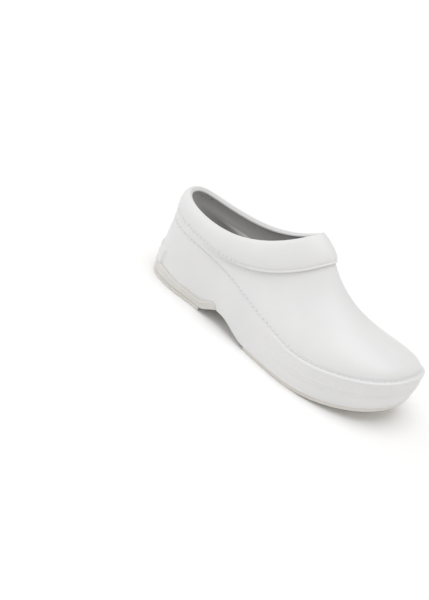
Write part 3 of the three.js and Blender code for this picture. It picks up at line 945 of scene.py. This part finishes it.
def border_share(x, y):
    """1 inside the tread's plain border, 0 on it."""
    stations = np.linspace(HEEL_X, TIP_X, 300)
    gaps = []
    for u, sign in ((outer_u(stations), 1), (inner_u(stations), -1)):
        point, outward = outline(u)
        edge = point - outward * TREAD_BORDER
        order = np.argsort(edge[:, 0])
        gaps.append(sign * (y - np.interp(x, edge[order, 0], edge[order, 1])))
    return smooth(np.minimum(*gaps), 0, 0.6)


# The tread's fine cuts: their wave, their places behind a groove, and their depth
WAVE_HEIGHT = 0.9
WAVE_LENGTH = 12
FINE_CUTS = (4.6, 8.4)
FINE_DEPTH = 0.5


def tread_depth(start, end):
    """Depth of the tread over the pad's flat face: cross grooves, and fine waved cuts between them."""
    count = int((end - start) // GROOVE_PITCH)
    first = (start + end - (count - 1) * GROOVE_PITCH) / 2

    def off_line(x):
        return np.abs((x - first + GROOVE_PITCH / 2) % GROOVE_PITCH - GROOVE_PITCH / 2)

    def depth(x, y):
        inside = border_share(x, y) * (np.abs(x - (start + end) / 2) < count / 2 * GROOVE_PITCH)
        near = off_line(x)
        groove = 1 - smooth(near, GROOVE_WIDTH / 2 - 0.35, GROOVE_WIDTH / 2 + 0.05)
        wave = WAVE_HEIGHT * np.sin(2 * np.pi * y / WAVE_LENGTH)
        fine = 0
        for offset in FINE_CUTS:
            fine = np.maximum(fine, 1 - smooth(off_line(x + wave + offset), 0.15, 0.75))
        lug = smooth(near, GROOVE_WIDTH / 2 + 0.3, GROOVE_WIDTH / 2 + 1.0)
        return inside * (GROOVE_DEPTH * groove + FINE_DEPTH * fine * lug)

    return depth


def build_pad(name, node, breast, toe_end, count, across, material):
    """A tread pad from its straight breast to the heel's or the toe's rounded end."""
    stations = pad_stations(breast, TIP_X if toe_end else HEEL_X, count)
    ends = (not toe_end, toe_end)
    u = station_ring(np.sort(stations), *ends)
    point, outward = outline(u)
    limit = np.maximum if toe_end else np.minimum

    def at(inset, lift):
        place = point - outward * inset
        place[:, 0] = limit(place[:, 0], breast)
        place[:, 2] = spring(place[:, 0]) + lift
        return place

    top = PAD_THICKNESS + CLEARANCE - 0.05
    corners = [
        at(3.0, 0),
        at(RIM_EDGE + 0.1, 0),
        at(RIM_EDGE / 2 + 0.1, top - 0.2),
        at(RIM_EDGE / 2 + 0.3, top),
        at(3.0, top),
    ]
    rings = rounded_ring(corners, 0.32, (5, 7, 3, 4))
    depth = tread_depth(breast, LENGTH * CURVES["along"](TOE)) if toe_end else tread_depth(0, breast)
    return sole_piece(
        name, node, rings, ends, lambda x, y: spring(x) + depth(x, y), lambda x, y: spring(x) + top,
        (across, 6), material,
    )


def build_insole(material):
    """The loose footbed, rounded along its edge."""
    u = station_ring(round_stations(INSOLE_STATIONS), True, True)
    cut = section(u, 0)
    rim = RIM_PROUD * rim_share(cut["point"][:, 0])
    edge = cut["point"] - cut["outward"] * (rim + WALL)[:, None]
    top = INSOLE_LIFT + INSOLE_THICKNESS

    def at(lift, inset):
        height = footbed(edge[:, 0], edge[:, 1]) + lift
        place = side_at(cut, height) - cut["outward"] * (WALL + 2 * CLEARANCE + inset)
        place[:, 2] = height
        return place

    corners = [
        at(INSOLE_LIFT, 3),
        at(INSOLE_LIFT, 0.2),
        at(INSOLE_LIFT + 0.4, 0),
        at(top - 1.2, 0),
        at(top, 1.2),
        at(top, 4),
    ]
    rings = rounded_ring(corners, 0.5, (3, 2, 6, 5, 4))
    return sole_piece(
        "insole_sheet", "insole", rings, (True, True), lambda x, y: footbed(x, y) + INSOLE_LIFT,
        lambda x, y: footbed(x, y) + top, (30, 30), material,
    )


# Materials


def new_material(name):
    """A material with its nodes, its links and its shader."""
    material = bpy.data.materials.new(name)
    material.use_nodes = True
    nodes = material.node_tree.nodes
    shader = next(n for n in nodes if n.type == "BSDF_PRINCIPLED")
    return material, nodes, material.node_tree.links, shader


def noise(nodes, links, coordinates, scale, detail, roughness):
    node = nodes.new("ShaderNodeTexNoise")
    node.inputs["Scale"].default_value = scale
    node.inputs["Detail"].default_value = detail
    node.inputs["Roughness"].default_value = roughness
    links.new(coordinates, node.inputs["Vector"])
    return node


def ramp(nodes, links, source, low, high, start=0.3, end=0.7):
    """A value between low and high, from a source between start and end."""
    node = nodes.new("ShaderNodeMapRange")
    node.inputs["From Min"].default_value = start
    node.inputs["From Max"].default_value = end
    node.inputs["To Min"].default_value = low
    node.inputs["To Max"].default_value = high
    links.new(source, node.inputs["Value"])
    return node.outputs["Result"]


def tint(nodes, links, source, light, dark):
    """A colour between dark and light."""
    node = nodes.new("ShaderNodeValToRGB")
    node.color_ramp.elements[0].position = 0.3
    node.color_ramp.elements[1].position = 0.7
    node.color_ramp.elements[0].color = (*dark, 1)
    node.color_ramp.elements[1].color = (*light, 1)
    links.new(source, node.inputs["Fac"])
    return node.outputs["Color"]


def foam_material(name, light, dark, roughness, pebbled):
    """Satin moulded foam with faint clouds and a very fine grain, and pebbles where they are wanted."""
    material, nodes, links, shader = new_material(name)
    place = nodes.new("ShaderNodeTexCoord").outputs["Object"]
    cloud = noise(nodes, links, place, 22, 3, 0.5)
    links.new(tint(nodes, links, cloud.outputs["Fac"], light, dark), shader.inputs["Base Color"])
    fine = noise(nodes, links, place, 900, 2, 0.6)
    gloss = ramp(nodes, links, fine.outputs["Fac"], roughness - 0.05, roughness + 0.06)
    links.new(gloss, shader.inputs["Roughness"])
    shader.inputs["Subsurface Weight"].default_value = 0.12
    shader.inputs["Subsurface Radius"].default_value = (1.0, 0.9, 0.8)
    shader.inputs["Subsurface Scale"].default_value = 0.003
    shader.inputs["Coat Weight"].default_value = 0.12
    shader.inputs["Coat Roughness"].default_value = 0.35
    grain = nodes.new("ShaderNodeBump")
    grain.inputs["Strength"].default_value = 0.25
    grain.inputs["Distance"].default_value = 0.0001
    links.new(fine.outputs["Fac"], grain.inputs["Height"])
    last = grain
    if pebbled:
        cells = nodes.new("ShaderNodeTexVoronoi")
        cells.feature = "SMOOTH_F1"
        cells.inputs["Scale"].default_value = 430
        cells.inputs["Smoothness"].default_value = 0.4
        cells.inputs["Randomness"].default_value = 0.45
        links.new(place, cells.inputs["Vector"])
        mask = nodes.new("ShaderNodeAttribute")
        mask.attribute_name = "pebble"
        both = nodes.new("ShaderNodeMath")
        both.operation = "MULTIPLY"
        links.new(cells.outputs["Distance"], both.inputs[0])
        links.new(mask.outputs["Fac"], both.inputs[1])
        bump = nodes.new("ShaderNodeBump")
        bump.invert = True
        bump.inputs["Strength"].default_value = 0.8
        bump.inputs["Distance"].default_value = 0.0006
        links.new(both.outputs["Value"], bump.inputs["Height"])
        links.new(grain.outputs["Normal"], bump.inputs["Normal"])
        last = bump
    links.new(last.outputs["Normal"], shader.inputs["Normal"])
    return material


def rubber_material():
    """Matte rubber with a fine grain."""
    material, nodes, links, shader = new_material("tread_rubber")
    place = nodes.new("ShaderNodeTexCoord").outputs["Object"]
    cloud = noise(nodes, links, place, 60, 4, 0.6)
    colour = tint(nodes, links, cloud.outputs["Fac"], (0.74, 0.72, 0.68), (0.70, 0.68, 0.64))
    links.new(colour, shader.inputs["Base Color"])
    fine = noise(nodes, links, place, 1400, 2, 0.6)
    links.new(ramp(nodes, links, fine.outputs["Fac"], 0.58, 0.74), shader.inputs["Roughness"])
    bump = nodes.new("ShaderNodeBump")
    bump.inputs["Strength"].default_value = 0.3
    bump.inputs["Distance"].default_value = 0.0001
    links.new(fine.outputs["Fac"], bump.inputs["Height"])
    links.new(bump.outputs["Normal"], shader.inputs["Normal"])
    return material


def lining_material():
    """Black textile with a fine slanting weave."""
    material, nodes, links, shader = new_material("insole_textile")
    place = nodes.new("ShaderNodeTexCoord").outputs["Object"]
    cloud = noise(nodes, links, place, 90, 4, 0.6)
    colour = tint(nodes, links, cloud.outputs["Fac"], (0.022, 0.022, 0.025), (0.012, 0.012, 0.014))
    links.new(colour, shader.inputs["Base Color"])
    turned = nodes.new("ShaderNodeMapping")
    turned.inputs["Rotation"].default_value = (0, 0, math.radians(45))
    links.new(place, turned.inputs["Vector"])
    weave = nodes.new("ShaderNodeTexWave")
    weave.inputs["Scale"].default_value = 260
    weave.inputs["Distortion"].default_value = 0.6
    links.new(turned.outputs["Vector"], weave.inputs["Vector"])
    links.new(ramp(nodes, links, weave.outputs["Fac"], 0.8, 0.95, 0, 1), shader.inputs["Roughness"])
    bump = nodes.new("ShaderNodeBump")
    bump.inputs["Strength"].default_value = 0.6
    bump.inputs["Distance"].default_value = 0.0003
    links.new(weave.outputs["Fac"], bump.inputs["Height"])
    links.new(bump.outputs["Normal"], shader.inputs["Normal"])
    shader.inputs["Sheen Weight"].default_value = 0.15
    return material


# Camera: the photograph's angle to the shoe, rolled

CAMERA_PLACE = (0.308269, -0.659333, 0.403989)
CAMERA_AZIMUTH = 29.613
CAMERA_ELEVATION = 28.1934
CAMERA_ROLL = 20.8423
CAMERA_LENS = 55.05


def make_camera():
    """The camera, from its place, direction, roll and lens."""
    azimuth = math.radians(CAMERA_AZIMUTH)
    elevation = math.radians(CAMERA_ELEVATION)
    roll = math.radians(CAMERA_ROLL)
    back = np.array([
        math.sin(azimuth) * math.cos(elevation),
        -math.cos(azimuth) * math.cos(elevation),
        math.sin(elevation),
    ])
    right = np.array([math.cos(azimuth), math.sin(azimuth), 0])
    up = np.cross(back, right)
    turned_right = math.cos(roll) * right + math.sin(roll) * up
    turned_up = -math.sin(roll) * right + math.cos(roll) * up
    data = bpy.data.cameras.new("camera")
    data.lens = CAMERA_LENS
    data.sensor_width = 36
    data.clip_start = 0.01
    data.clip_end = 50
    camera = bpy.data.objects.new("camera", data)
    bpy.context.scene.collection.objects.link(camera)
    axes = np.stack([turned_right, turned_up, back, CAMERA_PLACE], 1)
    camera.matrix_world = Matrix([*axes.tolist(), [0, 0, 0, 1]])
    bpy.context.scene.camera = camera


# Soft studio light from above, and a weaker one from behind the heel
SKY_COLOUR = (1, 0.97, 0.935)
SKY_STRENGTH = 0.66
LIGHT_COLOUR = (0.95, 0.985, 1.02)
LIGHTS = (
    dict(name="key", toward=(0.03, -0.08, 0.99), power=1.20, spread=50),
    dict(name="fill", toward=(-0.90, -0.30, 0.30), power=0.42, spread=60),
)


def sun_light(name, toward, power, spread):
    """A light from far away. Its spread is in degrees, and a wide one gives soft shadows."""
    data = bpy.data.lights.new(name, "SUN")
    data.energy = power
    data.angle = math.radians(spread)
    data.color = LIGHT_COLOUR
    light = bpy.data.objects.new(name, data)
    bpy.context.scene.collection.objects.link(light)
    back = unit(np.array(toward, float))
    side = unit(np.cross([0.0, 1.0, 0.0], back))
    axes = np.stack([side, np.cross(back, side), back, back], 1)
    light.matrix_world = Matrix([*axes.tolist(), [0, 0, 0, 1]])


def make_stage():
    """A plain pale floor, an even sky and the lights."""
    data = bpy.data.meshes.new("floor")
    data.from_pydata([(-30, -30, 0), (30, -30, 0), (30, 30, 0), (-30, 30, 0)], [], [(0, 1, 2, 3)])
    floor = bpy.data.objects.new("floor", data)
    bpy.context.scene.collection.objects.link(floor)
    material, _, _, shader = new_material("floor_paper")
    shader.inputs["Base Color"].default_value = (0.97, 0.97, 0.97, 1)
    shader.inputs["Roughness"].default_value = 0.9
    data.materials.append(material)
    world = bpy.data.worlds.new("studio")
    bpy.context.scene.world = world
    world.use_nodes = True
    sky = world.node_tree.nodes["Background"]
    sky.inputs["Color"].default_value = (*SKY_COLOUR, 1)
    sky.inputs["Strength"].default_value = SKY_STRENGTH
    bpy.context.scene.view_settings.view_transform = "Standard"
    for light in LIGHTS:
        sun_light(**light)


# The middle of the shoe's box, seen from above, is the row frame's origin
SHIFT = np.array([137.15, -1.05, 0.0])

make_camera()
make_stage()

white = foam_material(
    "moulded_foam", light=(0.80, 0.80, 0.805), dark=(0.76, 0.765, 0.77), roughness=0.45, pebbled=True,
)
# The sole's foam is the upper's white foam painted darker and warmer: painted shade for the low rim
# round the heel.
shaded_sole_white = foam_material(
    "sole_foam", light=(0.72, 0.705, 0.675), dark=(0.68, 0.665, 0.635), roughness=0.48, pebbled=False,
)
rubber = rubber_material()
lining = lining_material()

points, pebble = build_upper()
columns, rows = points.shape[:2]
upper = make_mesh("upper_shell", points.reshape(-1, 3), ring_faces(columns, rows, True), white)
add_attribute(upper, "pebble", pebble)
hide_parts("upper")

strip = stitched_strip(LEDGE, STITCH_AT, lambda cut: 1.4 - 0.5 * cut["ledge"])
strip_mesh("seam_stitching", *strip, "foam", white)
strip = stitched_strip(BAND, CUFF_STITCH_AT, lambda cut: 1.3 * cuff_stitch_share(cut["turn"]))
strip_mesh("cuff_stitching", *strip, "foam", white)
build_nubs(white)

# The midsole, with its rim round the heel, takes the foam with painted shade.
build_midsole(shaded_sole_white)
breast = FORE_BREAST * LENGTH
build_pad("forefoot_tread", "outsole_forefoot", breast, True, FORE_PAD_STATIONS, 90, rubber)
breast = HEEL_BREAST * LENGTH
build_pad("heel_tread", "outsole_heel", breast, False, HEEL_PAD_STATIONS, 70, rubber)
build_insole(lining)
